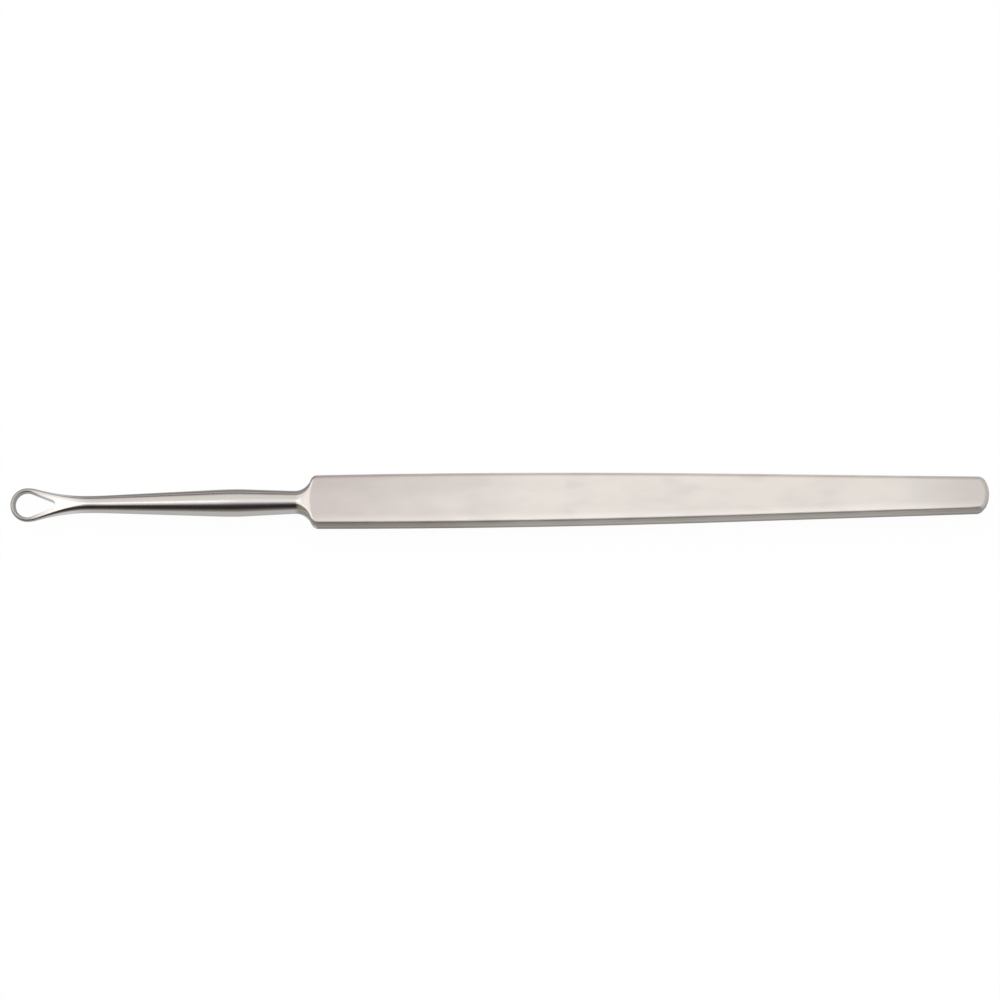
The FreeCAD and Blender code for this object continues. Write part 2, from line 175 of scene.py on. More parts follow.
class Socket:
    """A shader value that takes part in Python arithmetic."""

    def __init__(self, shader, socket):
        self.shader = shader
        self.socket = socket

    def __add__(self, other):
        return self.shader.maths("ADD", self, other)

    def __sub__(self, other):
        return self.shader.maths("SUBTRACT", self, other)

    def __rsub__(self, other):
        return self.shader.maths("SUBTRACT", other, self)

    def __mul__(self, other):
        return self.shader.maths("MULTIPLY", self, other)

    def __truediv__(self, other):
        return self.shader.maths("DIVIDE", self, other)


class Shader:
    """The node tree of a material or the world, emptied and built up again."""

    def __init__(self, owner):
        owner.use_nodes = True
        self.tree = owner.node_tree
        self.tree.nodes.clear()

    def node(self, kind, settings=(), inputs=(), output=0):
        """Adds a node, sets it, then fills its sockets with values or links."""
        made = self.tree.nodes.new(kind)
        for name, value in dict(settings).items():
            if name == "stops":
                stops = made.color_ramp.elements
                stops.remove(stops[-1])
                stops[0].position, stops[0].color = value[0]
                for position, level in value[1:]:
                    stops.new(position).color = level
            else:
                setattr(made, name, value)
        for name, value in dict(inputs).items():
            if isinstance(value, Socket):
                self.tree.links.new(value.socket, made.inputs[name])
            else:
                made.inputs[name].default_value = value
        return Socket(self, made.outputs[output]) if len(made.outputs) else made

    def maths(self, operation, *values):
        return self.node("ShaderNodeMath", {"operation": operation}, dict(enumerate(values)))

    def fade(self, *edges):
        """A share of smooth fades multiplied, each a value with where it is absent and where it is full."""
        inside = 1.0
        for value, absent, full in edges:
            inputs = {"Value": value, "From Min": absent, "From Max": full}
            inside = self.node("ShaderNodeMapRange", {"interpolation_type": "SMOOTHSTEP"}, inputs) * inside
        return inside

    def mixed(self, factor, one, other):
        return self.node("ShaderNodeMix", {"data_type": "RGBA"}, {0: factor, 6: one, 7: other}, 2)

    def scaled(self, tint, factor):
        return self.node("ShaderNodeVectorMath", {"operation": "SCALE"}, {0: tint, "Scale": factor})


class Section:
    """The quarter of a rounded rectangle, run along from its side to the middle of its top."""

    def __init__(self, half_width, half_height, corner):
        self.half_height = half_height
        self.half_width = half_width
        self.corner = corner
        self.wall = half_height - corner
        self.flat = half_width - corner
        self.bend = corner * math.pi / 2
        self.around = self.wall + self.bend + self.flat

    def at(self, part):
        """Distances across and up at a share of the quarter."""
        run = part * self.around
        if run < self.wall:
            return self.half_width, run
        if run < self.wall + self.bend:
            angle = (run - self.wall) / self.corner
            return self.flat + self.corner * math.cos(angle), self.wall + self.corner * math.sin(angle)
        return max(self.around - run, 0.0), self.half_height

    def share_at(self, across):
        """The share of the quarter at a distance across."""
        if across <= self.flat:
            return 1 - across / self.around
        angle = math.acos(min((across - self.flat) / self.corner, 1.0))
        return (self.wall + angle * self.corner) / self.around

    def height(self, across):
        return self.at(self.share_at(across))[1]


# How finely the skin is divided: round a quarter of each section, then along the instrument.
QUARTER = 24
WALL_STOPS = (0.0, 0.5, 0.96)
BEND_STEPS = 12
FLAT_STOPS = (0.0, 0.03, 0.1, 0.24, 0.38, 0.52, 0.66, 0.8, 0.92, 1.0)
FLANK_STEPS = 14
SHANK_STEPS = 75
HOLLOW_STEPS = 24
ROUND_STEPS = 10
CROWN_STEPS = 30
TAPER_STEPS = 19
CORNER_STEPS = 10
END_STEPS = 12


def even_shares():
    return [k / QUARTER for k in range(QUARTER + 1)]


def edged_shares(section):
    """Shares that crowd into the corner, with a support line on each side of it."""
    runs = [stop * section.wall for stop in WALL_STOPS]
    runs += [section.wall + section.bend * k / BEND_STEPS for k in range(BEND_STEPS)]
    runs += [section.wall + section.bend + section.flat * stop for stop in FLAT_STOPS]
    return [run / section.around for run in runs]


class Curette:
    """The form of the instrument, station by station."""

    def __init__(self, handle, shank, ring):
        self.handle = handle
        self.shank = shank
        self.ring = ring
        self.half_thickness = handle.thickness / 2
        self.belly_radius = self.half_thickness - shank.belly_clearance
        self.root_radius = self.belly_radius - shank.swell
        self.root = shank.shoulder - shank.shoulder_length
        self.neck_radius = shank.neck_diameter / 2
        self.ring_radius = ring.width / 2
        self.flare = SCurve(self.root_radius, handle.front_width / 2, shank.shoulder_length,
                            shank.shoulder_corner)
        self.flank = SCurve(self.neck_radius, self.ring_radius, shank.neck - self.ring_radius,
                            ring.flank)

    def flank_section(self, station):
        """Between the round neck and the ring's widest station."""
        gone = (self.shank.neck - station) / self.flank.length
        eased = (1 - math.cos(math.pi * gone)) / 2
        half_height = self.neck_radius + (self.ring.height / 2 - self.neck_radius) * eased
        corner = self.neck_radius + (self.ring.edge - self.neck_radius) * eased
        return Section(self.flank.at(self.shank.neck - station), half_height, corner)

    def shank_radius(self, station):
        """Radius of the round shank, a taper up to the belly and one down to the root."""
        shank = self.shank
        if station < shank.belly:
            rise = SCurve(self.neck_radius, self.belly_radius, shank.belly - shank.neck,
                          shank.belly_front, shank.neck_sweep)
            return rise.at(station - shank.neck)
        fall = SCurve(self.root_radius, self.belly_radius, self.root - shank.belly,
                      shank.belly_back, shank.root_sweep)
        return fall.at(self.root - station)

    def shoulder_section(self, station):
        """Between the shank's round root and the handle's full width."""
        along = station - self.root
        gone = along / self.flare.length
        climb = min(along / (self.flare.concave_radius * math.sin(self.flare.turn)), 1.0) ** 2
        half_height = self.root_radius + (self.half_thickness - self.root_radius) * climb
        corner = self.root_radius + (self.handle.edge - self.root_radius) * gone
        return Section(self.flare.at(along), half_height, corner)

    def crease(self):
        """Station where the flare's top meets the handle's flat face."""
        return self.root + self.flare.concave_radius * math.sin(self.flare.turn)

    def handle_side(self):
        """Points along the handle's side and round its rear end, each with its outward normal."""
        handle, shank = self.handle, self.shank
        front, rear = handle.front_width / 2, handle.rear_width / 2
        end_centre = handle.overall - handle.end_radius
        meet = end_centre + math.sqrt(handle.end_radius ** 2 - rear ** 2)
        crown = (handle.widest - shank.shoulder) ** 2 / (2 * (handle.taper - handle.widest))
        slope = (front - rear) / ((handle.taper - handle.widest) / 2 + meet - handle.taper - crown)
        turn = math.atan(slope)
        radius = (handle.taper - handle.widest) / math.sin(turn)
        centre = front - math.sqrt(radius ** 2 - (handle.widest - shank.shoulder) ** 2)
        taper_half = centre + radius * math.cos(turn)
        normal = (math.sin(turn), math.cos(turn))

        points = []
        for k in range(CROWN_STEPS + 1):
            station = shank.shoulder + (handle.taper - shank.shoulder) * k / CROWN_STEPS
            angle = math.asin((station - handle.widest) / radius)
            points.append((station, centre + radius * math.cos(angle), math.sin(angle), math.cos(angle)))
        inner = handle.end_radius - handle.end_corner
        from_x = handle.taper - normal[0] * handle.end_corner - end_centre
        from_y = taper_half - normal[1] * handle.end_corner
        along = from_x * normal[1] - from_y * normal[0]
        reach = math.sqrt(along ** 2 - from_x ** 2 - from_y ** 2 + inner ** 2) - along
        corner_x = end_centre + from_x + normal[1] * reach
        corner_y = from_y - normal[0] * reach
        last_x = corner_x + normal[0] * handle.end_corner
        last_y = corner_y + normal[1] * handle.end_corner
        for k in range(1, TAPER_STEPS + 1):
            part = k / TAPER_STEPS
            points.append((handle.taper + (last_x - handle.taper) * part,
                           taper_half + (last_y - taper_half) * part, *normal))
        start = math.pi / 2 - turn
        stop = math.atan2(corner_y, corner_x - end_centre)
        for k in range(1, CORNER_STEPS + 1):
            angle = start + (stop - start) * k / CORNER_STEPS
            points.append((corner_x + handle.end_corner * math.cos(angle),
                           corner_y + handle.end_corner * math.sin(angle),
                           math.cos(angle), math.sin(angle)))
        for k in range(1, END_STEPS + 1):
            angle = stop * (1 - k / END_STEPS)
            points.append((end_centre + handle.end_radius * math.cos(angle),
                           handle.end_radius * math.sin(angle), math.cos(angle), math.sin(angle)))
        return points


class SCurve:
    """Two arcs, and a straight where they leave room, that ease a low half-width into a high one.

    The concave arc starts level at the low end, and the convex arc ends level at the high end.
    """

    def __init__(self, low, high, over, convex_radius, concave_radius=None):
        self.low = low
        self.high = high
        self.length = over
        self.convex_radius = convex_radius
        if concave_radius is None:
            self.turn = 2 * math.atan((high - low) / over)
            self.concave_radius = over / math.sin(self.turn) - convex_radius
        else:
            both = convex_radius + concave_radius
            slack = both - (high - low)
            self.turn = math.atan2(over, slack) - math.acos(both / math.hypot(over, slack))
            self.concave_radius = concave_radius

    def at(self, along):
        """Half-width at a distance from the low end."""
        hollow = self.concave_radius * math.sin(self.turn)
        if along <= hollow:
            return self.low + self.concave_radius - math.sqrt(self.concave_radius ** 2 - along ** 2)
        left = max(self.length - along, 0.0)
        if left <= self.convex_radius * math.sin(self.turn):
            return self.high - self.convex_radius + math.sqrt(self.convex_radius ** 2 - left ** 2)
        start = self.low + self.concave_radius * (1 - math.cos(self.turn))
        return start + (along - hollow) * math.tan(self.turn)


class Skin:
    """Collects points and faces of the instrument's surface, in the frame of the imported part."""

    def __init__(self, form):
        self.form = form
        self.mesh = bmesh.new()

    def point(self, station, across, up):
        middle = self.form.half_thickness
        return self.mesh.verts.new((station + LOWEST[0], across, up + middle))

    def bridge(self, one, other, closed=True):
        """Faces between two rows of points of the same count."""
        count = len(one)
        for k in range(count if closed else count - 1):
            following = (k + 1) % count
            self.mesh.faces.new((one[k], one[following], other[following], other[k]))

    def loop(self, quarter):
        """A closed row of points round the instrument from the points of one quarter."""
        row = []
        for flip, side, up in ((False, 1, 1), (True, -1, 1), (False, -1, -1), (True, 1, -1)):
            run = list(reversed(quarter)) if flip else quarter
            row += [self.point(x, side * across, up * height) for x, across, height in run[:-1]]
        return row


def section_quarter(station, section, shares):
    return [(station, *section.at(part)) for part in shares]


def blended(one, other, factor):
    return [a + (b - a) * factor for a, b in zip(one, other)]


def smooth(value):
    return value * value * (3 - 2 * value)


def body_quarters(form, ring_joint):
    """Quarters of the sections from behind the ring's hole to the handle's front."""
    shank = form.shank
    quarters = []
    for k in range(FLANK_STEPS + 1):
        station = ring_joint + (shank.neck - ring_joint) * k / FLANK_STEPS
        quarters.append(section_quarter(station, form.flank_section(station), even_shares()))
    for k in range(1, SHANK_STEPS + 1):
        station = shank.neck + (form.root - shank.neck) * k / SHANK_STEPS
        radius = form.shank_radius(station)
        quarters.append(section_quarter(station, Section(radius, radius, radius), even_shares()))
    hollow = form.crease() - form.root
    stations = [form.root + hollow * math.sin(form.flare.turn * k / HOLLOW_STEPS) / math.sin(form.flare.turn)
                for k in range(1, HOLLOW_STEPS + 1)]
    rest = form.flare.length - hollow
    stations += [form.crease() + rest * math.sin(math.pi / 2 * k / ROUND_STEPS)
                 for k in range(1, ROUND_STEPS)]
    for station in stations:
        section = form.shoulder_section(station)
        gone = smooth((station - form.root) / form.flare.length)
        shares = blended(even_shares(), edged_shares(section), gone)
        quarters.append(section_quarter(station, section, shares))
    return quarters


def handle_quarters(form):
    """Quarters that follow the handle's side and turn round its rear end."""
    edge, half = form.handle.edge, form.half_thickness
    quarters = []
    for x, y, nx, ny in form.handle_side():
        inner_x, inner_y = x - nx * edge, max(y - ny * edge, 0.0)
        quarter = [(x, y, (half - edge) * stop) for stop in WALL_STOPS]
        for k in range(BEND_STEPS):
            angle = math.pi / 2 * k / BEND_STEPS
            back = edge * (1 - math.cos(angle))
            quarter.append((x - nx * back, max(y - ny * back, 0.0), half - edge + edge * math.sin(angle)))
        quarter += [(inner_x, inner_y * (1 - stop), half) for stop in FLAT_STOPS]
        quarters.append(quarter)
    return quarters


# The same for the ring: across its sheets, along the hole's edge and down through the hole.
ACROSS = 20
ARC_STEPS = 32
SIDE_STEPS = 30
SPREAD_STEPS = 14
LIP_STEPS = 8
WALL_STEPS = 4
HALVINGS = 40


def hole_edge(form):
    """Points along half of the hole's edge, from the ring's front to the hole's tip, with normals."""
    ring = form.ring
    centre = form.ring_radius
    big, small = ring.hole_width / 2, ring.hole_tip
    tip = centre - big + ring.hole_length - small
    lean = math.acos((big - small) / (tip - centre))
    front = []
    for k in range(ARC_STEPS + 1):
        angle = math.pi - (math.pi - lean) * k / ARC_STEPS
        front.append((centre + big * math.cos(angle), big * math.sin(angle), angle))
    start = front[-1]
    stop = (tip + small * math.cos(lean), small * math.sin(lean))
    side = [(start[0] + (stop[0] - start[0]) * k / SIDE_STEPS,
             start[1] + (stop[1] - start[1]) * k / SIDE_STEPS, lean) for k in range(1, SIDE_STEPS + 1)]
    return front, side, (tip, small, lean)


def hole_mouth(form, x, y, angle):
    """Where the hole's leaning wall leaves through the top, from a point on its lower edge."""
    ring = form.ring
    slope = math.tan(ring.draft)
    low, high = 0.0, form.neck_radius - ring.draft_start
    for _ in range(HALVINGS):
        rise = (low + high) / 2
        out_x = x + math.cos(angle) * slope * rise
        out_y = y + math.sin(angle) * slope * rise
        if ring.draft_start + rise < top_height(form, out_x, out_y):
            low = rise
        else:
            high = rise
    return out_x, out_y


def lip_reach(form, x):
    """How far the rounding of the hole's upper lip reaches from its edge."""
    ring = form.ring
    gone = smooth(min(max((x - form.ring_radius) / ring.lip_fade, 0.0), 1.0))
    return ring.lip + (ring.rear_lip - ring.lip) * gone


def top_height(form, x, y):
    """Height of the upper surface over a point of the ring or its flanks."""
    if x < form.ring_radius:
        return form.flank_section(form.ring_radius).height(math.hypot(x - form.ring_radius, y))
    return form.flank_section(x).height(abs(y))


def ring_joint_station(form):
    """A station behind the hole, where the ring's sheets meet the round body."""
    ring = form.ring
    return form.ring_radius - ring.hole_width / 2 + ring.hole_length + ring.joint


def ring_rays(form, joint):
    """Half of the hole's edge points, each with the station and share of the side it runs out to.

    Round the ring's front a ray runs straight out, and along the flanks it runs across.
    """
    front, side, (tip, small, lean) = hole_edge(form)
    rays = [(point, None, 0.0) for point in front if point[0] <= form.ring_radius]
    rays += [(point, "across", 0.0) for point in front + side if point[0] > form.ring_radius]
    shares = even_shares()
    last = side[-1][0]
    for k in range(1, SPREAD_STEPS + QUARTER + 1):
        part = k / (SPREAD_STEPS + QUARTER)
        angle = lean * (1 - part)
        point = (tip + small * math.cos(angle), small * math.sin(angle), angle)
        if k <= SPREAD_STEPS:
            rays.append((point, last + (joint - last) * k / SPREAD_STEPS, 0.0))
        else:
            rays.append((point, joint, shares[k - SPREAD_STEPS]))
    return rays


def sheet_row(form, ray, top):
    """Points of one sheet along a ray, from the instrument's side in to the hole."""
    (x, y, angle), target, outer_share = ray
    inner_x, inner_y = x, y
    if top:
        mouth_x, mouth_y = hole_mouth(form, x, y, angle)
        reach = lip_reach(form, x)
        inner_x, inner_y = mouth_x + reach * math.cos(angle), mouth_y + reach * math.sin(angle)
    sign = 1 if top else -1
    row = []
    if target is None:
        section = form.flank_section(form.ring_radius)
        radius = math.hypot(inner_x - form.ring_radius, inner_y)
        inner_share = section.share_at(radius)
        for k in range(ACROSS + 1):
            out, up = section.at(inner_share * k / ACROSS)
            row.append((form.ring_radius + out * math.cos(angle), out * math.sin(angle), sign * up))
        return row
    outer_x = x if target == "across" else target
    inner_share = form.flank_section(inner_x).share_at(inner_y)
    for k in range(ACROSS + 1):
        part = k / ACROSS
        station = outer_x + (inner_x - outer_x) * part
        across, up = form.flank_section(station).at(outer_share + (inner_share - outer_share) * part)
        row.append((station, across, sign * up))
    return row


def hole_wall(form, ray, lip_start, floor):
    """Points from the rounding of the upper lip down the leaning wall to the lower rim."""
    (x, y, angle), *_ = ray
    start = form.ring.draft_start
    mouth = Vector((*hole_mouth(form, x, y, angle), 0))
    mouth.z = top_height(form, mouth.x, mouth.y)
    foot = Vector((x, y, start))
    lip_end = mouth + (foot - mouth).normalized() * lip_reach(form, x)
    points = []
    for k in range(1, LIP_STEPS + 1):
        part = k / LIP_STEPS
        points.append(Vector(lip_start).lerp(mouth, part).lerp(mouth.lerp(lip_end, part), part))
    points += [lip_end.lerp(foot, k / WALL_STEPS) for k in range(1, WALL_STEPS + 1)]
    points += [Vector((x, y, start + (floor - start) * k / WALL_STEPS)) for k in range(1, WALL_STEPS)]
    return [tuple(point) for point in points]


def add_ring(skin, form, joint):
    """The ring and its flanks as two sheets round the hole, joined by the hole's wall."""
    half = []
    for ray in ring_rays(form, joint):
        upper = sheet_row(form, ray, True)
        lower = sheet_row(form, ray, False)
        half.append(upper + hole_wall(form, ray, upper[-1], lower[-1][2]) + list(reversed(lower)))
    rim = len(half[0]) - ACROSS - 1
    mirrored = [[(x, -y, z) for x, y, z in row] for row in reversed(half[1:-1])]
    rows = [[skin.point(*place) for place in row] for row in half + mirrored]
    for row, following in zip(rows, rows[1:] + rows[:1]):
        skin.bridge(row, following, closed=False)
        skin.mesh.edges.get((row[rim], following[rim])).smooth = False


# Points closer than the first are joined, and edges shorter than the second are dissolved.
JOINED = 2e-7
SPECK = 1e-8


class CURETTE_OT_instrument(bpy.types.Operator):
    """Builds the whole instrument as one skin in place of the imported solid"""

    bl_idname = "curette.instrument"
    bl_label = "Instrument"

    def execute(self, context):
        scene = context.scene
        form = Curette(scene.curette_handle, scene.curette_shank, scene.curette_ring)
        skin = Skin(form)
        joint = ring_joint_station(form)
        add_ring(skin, form, joint)
        loops = [skin.loop(quarter) for quarter in body_quarters(form, joint) + handle_quarters(form)]
        for one, other in zip(loops, loops[1:]):
            skin.bridge(one, other)
        bmesh.ops.remove_doubles(skin.mesh, verts=skin.mesh.verts, dist=JOINED)
        bmesh.ops.dissolve_degenerate(skin.mesh, edges=skin.mesh.edges, dist=SPECK)
        bmesh.ops.recalc_face_normals(skin.mesh, faces=skin.mesh.faces)
        data = bpy.data.meshes.new("curette_steel")
        for face in skin.mesh.faces:
            face.smooth = True
        skin.mesh.to_mesh(data)
        skin.mesh.free()
        piece = bpy.data.objects.new("curette_steel", data)
        context.collection.objects.link(piece)
        data.materials.append(steel(scene.curette_finish, form))
        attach(piece, "root")
        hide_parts("curette")
        return {"FINISHED"}


# The crease runs back a little towards the sides: its lead in millimetres, its bow and its blur.
CREASE_LEAD = 0.15
CREASE_BOW = 0.07
CREASE_BLUR = 0.03

# Noises by how fast they change along, across and up, their detail and its roughness.
GRAIN = ((0.25, 7.0, 7.0), 3.0, 0.6)
CLOUD = ((0.12, 0.3, 0.3), 2.0, 0.5)
BLUSH = ((0.17, 0.4, 0.5), 1.0, 0.5)
WEAR = ((0.5, 1.6, 1.6), 3.0, 0.5)

# Height of the relief in millimetres, and how far the noises move the roughness.
RELIEF = 0.004
WEAR_ROUGHNESS = 0.04
GRAIN_ROUGHNESS = 0.1
CLOUD_ROUGHNESS = 0.08


class Spot:
    """Where a point of the instrument lies, in millimetres, and the noises there, as shader values.

    Along and across start from the instrument's middle, rise from its middle plane, depth from the
    nearer flat face and front from the crease. Lift is the upward part of the surface's normal.
    """

    def __init__(self, shader, form):
        self.shader = shader
        place = shader.node("ShaderNodeTexCoord", output="Object")
        normal = shader.node("ShaderNodeTexCoord", output="Normal")
        self.along, self.across, self.up = (
            shader.node("ShaderNodeSeparateXYZ", {}, {0: place}, axis) / MM for axis in ("X", "Y", "Z"))
        half = form.half_thickness / MM
        self.rise = self.up - half
        self.depth = half - shader.maths("ABSOLUTE", self.rise)
        crease = (form.crease() + LOWEST[0]) / MM
        self.front = self.along - (self.across * self.across * CREASE_BOW + (crease - CREASE_LEAD))
        self.lift = shader.node("ShaderNodeSeparateXYZ", {}, {0: normal}, "Z")
        self.flat = shader.fade((self.depth, 0.3, 0.03))
        self.lines = self.noise(*GRAIN) - 0.5
        self.cloud = self.noise(*CLOUD) - 0.5
        self.wear = self.noise(*WEAR) - 0.5

    def noise(self, scales, detail, roughness):
        vector = self.shader.node("ShaderNodeCombineXYZ", {}, {
            0: self.along * scales[0], 1: self.across * scales[1], 2: self.up * scales[2]})
        return self.shader.node("ShaderNodeTexNoise", {}, {
            "Vector": vector, "Scale": 1.0, "Detail": detail, "Roughness": roughness}, "Fac")


def satin_tone(shader, spot, finish):
    """Tone of the handle: its faces, its sides and the lines between them, with painted shade and painted
    highlights on its sides and along its edges.
    """
    along, across = spot.along, spot.across
    # Painted shade on the handle's sides, and painted light on its far side and round its rear end.
    past_corner = across + shader.fade((along, 67.0, 72.0)) * 1.5
    side = shader.fade((past_corner, -0.6, 1.2)) * finish.painted_far_side_light - finish.painted_side_shade
    tone = (1.0 - spot.flat) * side + 1.0

    # Painted highlight along the line where the near side meets the face.
    painted_edge_highlight = shader.fade(
        (spot.depth, 0.0, 0.01), (spot.depth, 0.09, 0.03), (across, 0.0, -1.0), (along, 71.0, 69.0))
    gain = shader.fade((along, 0.0, 60.0)) * finish.painted_edge_highlight_gain
    tone = tone + painted_edge_highlight * (gain + finish.painted_edge_highlight)
    tone = tone * (spot.cloud * finish.clouds + spot.lines * finish.grain_tone + 1.0)

    # Painted highlight along the near edge of the faces, moving inwards as the handle narrows towards the
    # rear.
    with_taper = across - shader.fade((along, 10.0, 72.0)) * 1.1
    painted_near_highlight = shader.fade((with_taper, -2.0, -3.4))
    # Painted shade on the faces' far side near the shoulder.
    painted_far_shade = shader.fade((across, -0.5, 3.5), (along, 10.0, -15.0))
    # Painted shade on the lower part of the handle's near side.
    painted_low_shade = shader.fade((spot.rise, 1.0, -0.6), (across, -1.0, -2.0))
    tone = tone * (painted_near_highlight * finish.painted_near_highlight + 1.0)
    tone = tone * (1.0 - painted_far_shade * finish.painted_far_shade)
    return tone * (1.0 - painted_low_shade * finish.painted_low_shade)


def satin_colour(shader, spot, finish):
    """Colour of the ground handle, rosier in front, in patches, and duller at the rear end."""
    front, middle, rear = ((*each, 1) for each in (finish.satin_front, finish.satin, finish.satin_rear))
    patches = shader.fade((spot.noise(*BLUSH), 0.48, 0.75))
    satin = shader.mixed(shader.fade((spot.along, -30.0, 10.0)) + spot.cloud * 0.6, front, middle)
    satin = shader.mixed(patches * finish.blush, satin, front)
    satin = shader.mixed(shader.fade((spot.along, 57.0, 71.0)), satin, rear)
    return shader.scaled(satin, satin_tone(shader, spot, finish))


def polished_colour(shader, spot, finish, ring):
    """Colour of the shank and ring, with painted shade along the shank's far side and under the flare's near
    side.
    """
    bright = shader.mixed(
        shader.fade((spot.along, -60.0, -64.0)), (*finish.polished, 1), (*finish.flanks, 1))
    bright = shader.mixed(ring, bright, (*finish.ring_front, 1))
    # Painted shade: a darker band along the far side of the shank and flare, chosen by how far the surface
    # faces up.
    far = shader.fade(
        (spot.lift, 0.77, 0.63), (spot.lift, 0.37, 0.6), (spot.across, 0.0, 0.5), (spot.along, -66.0, -62.0))
    # Painted shade under the near side of the shoulder's flare, kept off its upright wall except close to
    # the crease.
    near = shader.fade((spot.lift, 0.7, 0.6), (spot.across, -0.8, -1.4), (spot.front, -2.6, -1.6))
    above_wall = shader.maths(
        "MAXIMUM", shader.fade((spot.lift, 0.02, 0.15)), shader.fade((spot.front, -1.3, -0.7)))
    shade = far * finish.painted_shank_shade + near * above_wall * finish.painted_flare_shade
    return shader.scaled(bright, 1.0 - shade)


def steel(finish, form):
    """Polished steel in front of the shoulder's crease, and satin ground steel behind it."""
    material = bpy.data.materials.new("curette_steel")
    shader = Shader(material)
    spot = Spot(shader, form)
    ground = shader.fade((spot.front, -CREASE_BLUR, CREASE_BLUR))
    ring = shader.fade((spot.along, -64.5, -71.0))
    base = shader.mixed(
        ground, polished_colour(shader, spot, finish, ring), satin_colour(shader, spot, finish))
    polish = spot.wear * WEAR_ROUGHNESS + ring * finish.ring_roughness + finish.polished_roughness
    dull = spot.lines * GRAIN_ROUGHNESS + spot.cloud * CLOUD_ROUGHNESS + finish.satin_roughness
    dull = dull + (1.0 - spot.flat) * finish.side_roughness
    height = spot.lines * ground * finish.grain * RELIEF + spot.wear * RELIEF
    bump = shader.node("ShaderNodeBump", {}, {"Strength": 1.0, "Distance": MM, "Height": height})
    surface = shader.node("ShaderNodeBsdfPrincipled", {}, {
        "Base Color": base, "Metallic": 1.0, "Roughness": polish + (dull - polish) * ground,
        "Normal": bump, "Specular Tint": (*finish.edge_tint, 1)})
    shader.node("ShaderNodeOutputMaterial", {}, {"Surface": surface})
    return material


class CURETTE_OT_stage(bpy.types.Operator):
    """Sets the plain floor, the soft light and the camera"""

    bl_idname = "curette.stage"
    bl_label = "Stage"

    def execute(self, context):
        scene = context.scene
        settings = scene.curette_stage
        scene.view_settings.view_transform = "Standard"
        add_floor(context, settings)
        add_surroundings(scene)
        add_camera(context, settings)
        return {"FINISHED"}


FLOOR_REACH = 6.0
FLOOR_DROP = 0.02 * MM


def add_floor(context, settings):
    """A plain floor just under the instrument, white in the picture and in reflections."""
    data = bpy.data.meshes.new("floor")
    reach, down = FLOOR_REACH, -FLOOR_DROP
    data.from_pydata(
        [(-reach, -reach, down), (reach, -reach, down), (reach, reach, down), (-reach, reach, down)],
        [], [(0, 1, 2, 3)])
    floor = bpy.data.objects.new("floor", data)
    context.collection.objects.link(floor)
    material = bpy.data.materials.new("floor_paper")
    shader = Shader(material)
    matt = shader.node("ShaderNodeBsdfDiffuse", {}, {"Color": (*settings.floor, 1)})
    seen = shader.node("ShaderNodeEmission", {}, {"Color": (1, 1, 1, 1), "Strength": 1.0})
    camera_ray = shader.node("ShaderNodeLightPath", output="Is Camera Ray")
    glossy_ray = shader.node("ShaderNodeLightPath", output="Is Glossy Ray")
    through_ray = shader.node("ShaderNodeLightPath", output="Is Transmission Ray")
    white = (camera_ray + glossy_ray + through_ray) * settings.floor_white
    mixed = shader.node("ShaderNodeMixShader", {}, {0: white, 1: matt, 2: seen})
    shader.node("ShaderNodeOutputMaterial", {}, {"Surface": mixed})
    data.materials.append(material)


PLAIN, WARM, BROWN = (1, 1, 1), (1, 0.975, 0.95), (1.1, 0.95, 0.93)
PLUM, OLIVE = (1.06, 0.92, 1.02), (1.04, 0.99, 0.91)
BRIGHTEST = 4.0

# Light of the room over the instrument: degrees from the near horizon to the far one at 180, level
# and tint. The floor hides what is below.
ROOM = (
    (-20, 1.0, PLAIN), (-4, 0.85, PLAIN), (5, 0.62, OLIVE), (14, 0.34, OLIVE), (24, 0.16, OLIVE),
    (34, 0.045, BROWN), (50, 0.03, BROWN), (61.5, 0.07, PLUM), (69.5, 0.28, PLUM), (77.5, 0.65, PLUM),
    (85, 1.3, PLAIN), (94, 1.8, PLAIN), (106, 1.7, WARM), (122, 1.38, WARM), (145, 1.42, WARM),
    (154, 1.25, WARM), (161, 0.8, BROWN), (168, 0.42, BROWN), (178, 0.25, BROWN), (190, 0.25, PLAIN))

# Patches of other light, each a colour and its fades by those degrees and by the direction's part
# along the instrument, negative towards the ring. In order: a paler near horizon, the olive under
# the flare, four lamps from wide to narrow, and an even light from beyond the rear end.
PATCHES = (
    ((0.85, 0.82, 0.77), ("swing", 12, -10), ("along", -0.2, -0.5)),
    ((0.5, 0.465, 0.335), ("swing", 73, 62), ("along", -0.22, -0.6)),
    ((2.0, 1.95, 1.89), ("swing", 70, 77), ("swing", 108, 94), ("along", -0.12, -0.25)),
    ((1.65, 1.6, 1.52), ("swing", 94, 106), ("swing", 150, 140), ("along", -0.18, -0.36)),
    ((2.3, 2.25, 2.17), ("swing", 84, 92), ("swing", 103, 97), ("along", -0.36, -0.46),
     ("along", -0.66, -0.54)),
    ((3.6, 3.6, 3.6), ("swing", 93, 96), ("swing", 101, 98), ("along", -0.07, -0.13),
     ("along", -0.3, -0.18)),
    ((1.14, 1.14, 1.09), ("along", 0.24, 0.5)))


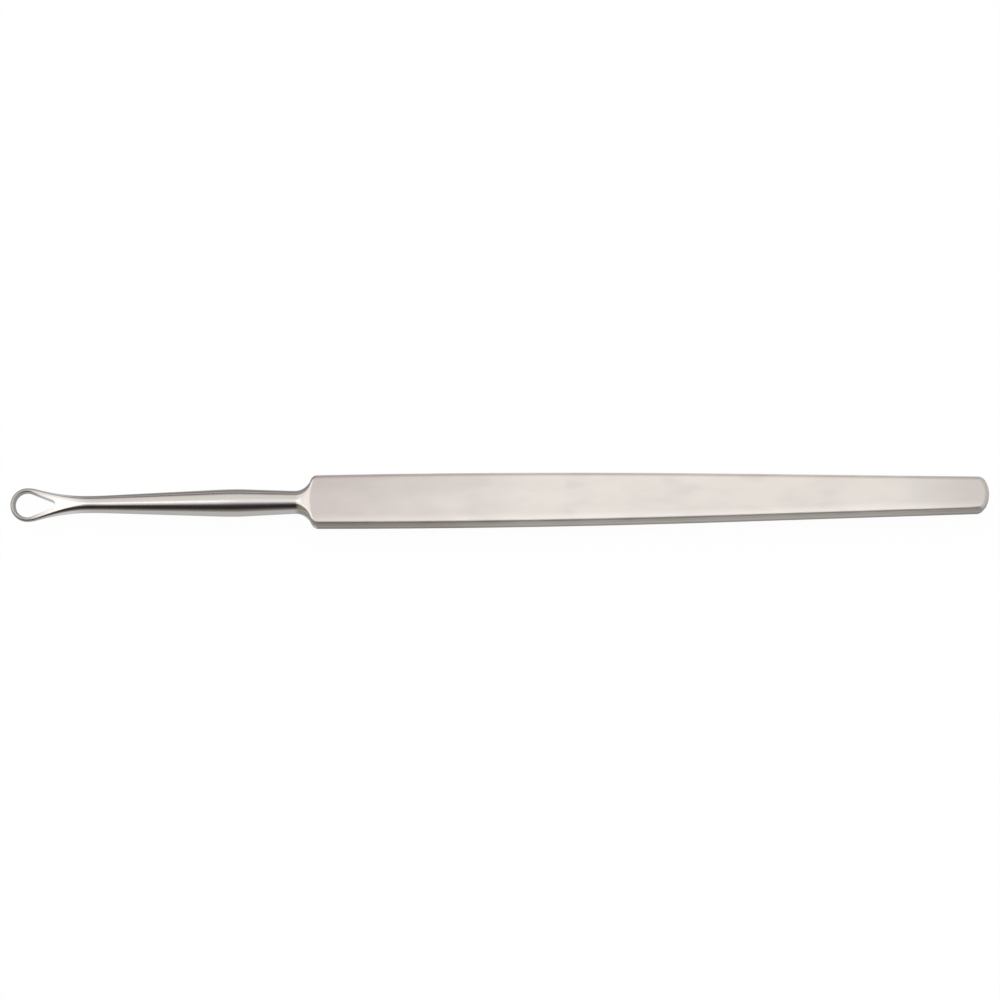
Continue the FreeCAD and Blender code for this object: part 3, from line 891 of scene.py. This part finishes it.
def add_surroundings(scene):
    """The world's soft light, laid round the instrument's long axis."""
    world = bpy.data.worlds.new("studio")
    scene.world = world
    shader = Shader(world)
    direction = shader.node("ShaderNodeTexCoord", output="Generated")
    along, across, up = (
        shader.node("ShaderNodeSeparateXYZ", {}, {0: direction}, axis) for axis in ("X", "Y", "Z"))
    swing = shader.maths("ARCTAN2", across, up) * (180 / math.pi) + 90.0
    stops = [((degrees + 90) / 360, (*(level * part / BRIGHTEST for part in tint), 1))
             for degrees, level, tint in ROOM]
    light = shader.node("ShaderNodeValToRGB", {"stops": stops}, {0: (swing + 90.0) / 360.0})
    values = {"swing": swing, "along": along}
    for level, *edges in PATCHES:
        inside = shader.fade(*((values[name], absent, full) for name, absent, full in edges))
        light = shader.mixed(inside, light, (*(part / BRIGHTEST for part in level), 1))
    background = shader.node("ShaderNodeBackground", {}, {"Color": light, "Strength": BRIGHTEST})
    shader.node("ShaderNodeOutputWorld", {}, {"Surface": background})


SENSOR_WIDTH = 36.0
NEAREST, FURTHEST = 0.01, 10.0


def add_camera(context, settings):
    data = bpy.data.cameras.new("camera")
    camera = bpy.data.objects.new("camera", data)
    context.collection.objects.link(camera)
    middle = Vector((settings.ahead, settings.beyond, HIGHEST[2] / 2))
    back = Vector((0, -math.cos(settings.elevation), math.sin(settings.elevation)))
    camera.location = middle + back * settings.distance
    camera.rotation_mode = "QUATERNION"
    camera.rotation_quaternion = Quaternion(back, -settings.roll) @ (-back).to_track_quat("-Z", "Y")
    data.sensor_width = SENSOR_WIDTH
    data.lens = SENSOR_WIDTH * settings.distance / settings.picture_width
    data.clip_start, data.clip_end = NEAREST, FURTHEST
    context.scene.camera = camera


class CURETTE_PT_panel(bpy.types.Panel):
    """Lists the sizes, the finish and the steps"""

    bl_idname = "CURETTE_PT_panel"
    bl_label = "Ring Curette"
    bl_space_type = "VIEW_3D"
    bl_region_type = "UI"
    bl_category = "Curette"

    def draw(self, context):
        for name in GROUPS:
            box = self.layout.box()
            group = getattr(context.scene, name)
            for prop in group.bl_rna.properties.keys():
                if prop not in ("name", "rna_type"):
                    box.prop(group, prop)
        for operator in (CURETTE_OT_instrument, CURETTE_OT_stage):
            self.layout.operator(operator.bl_idname)


GROUPS = {
    "curette_handle": HandleSizes,
    "curette_shank": ShankSizes,
    "curette_ring": RingSizes,
    "curette_finish": Finish,
    "curette_stage": StageSettings,
}
CLASSES = (*GROUPS.values(), CURETTE_OT_instrument, CURETTE_OT_stage, CURETTE_PT_panel)


def register():
    for each in CLASSES:
        bpy.utils.register_class(each)
    for name, group in GROUPS.items():
        setattr(bpy.types.Scene, name, bpy.props.PointerProperty(type=group))


def unregister():
    for name in GROUPS:
        delattr(bpy.types.Scene, name)
    for each in reversed(CLASSES):
        bpy.utils.unregister_class(each)


def main():
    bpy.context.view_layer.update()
    register()
    bpy.ops.curette.instrument()
    bpy.ops.curette.stage()


if __name__ == "__main__":
    main()
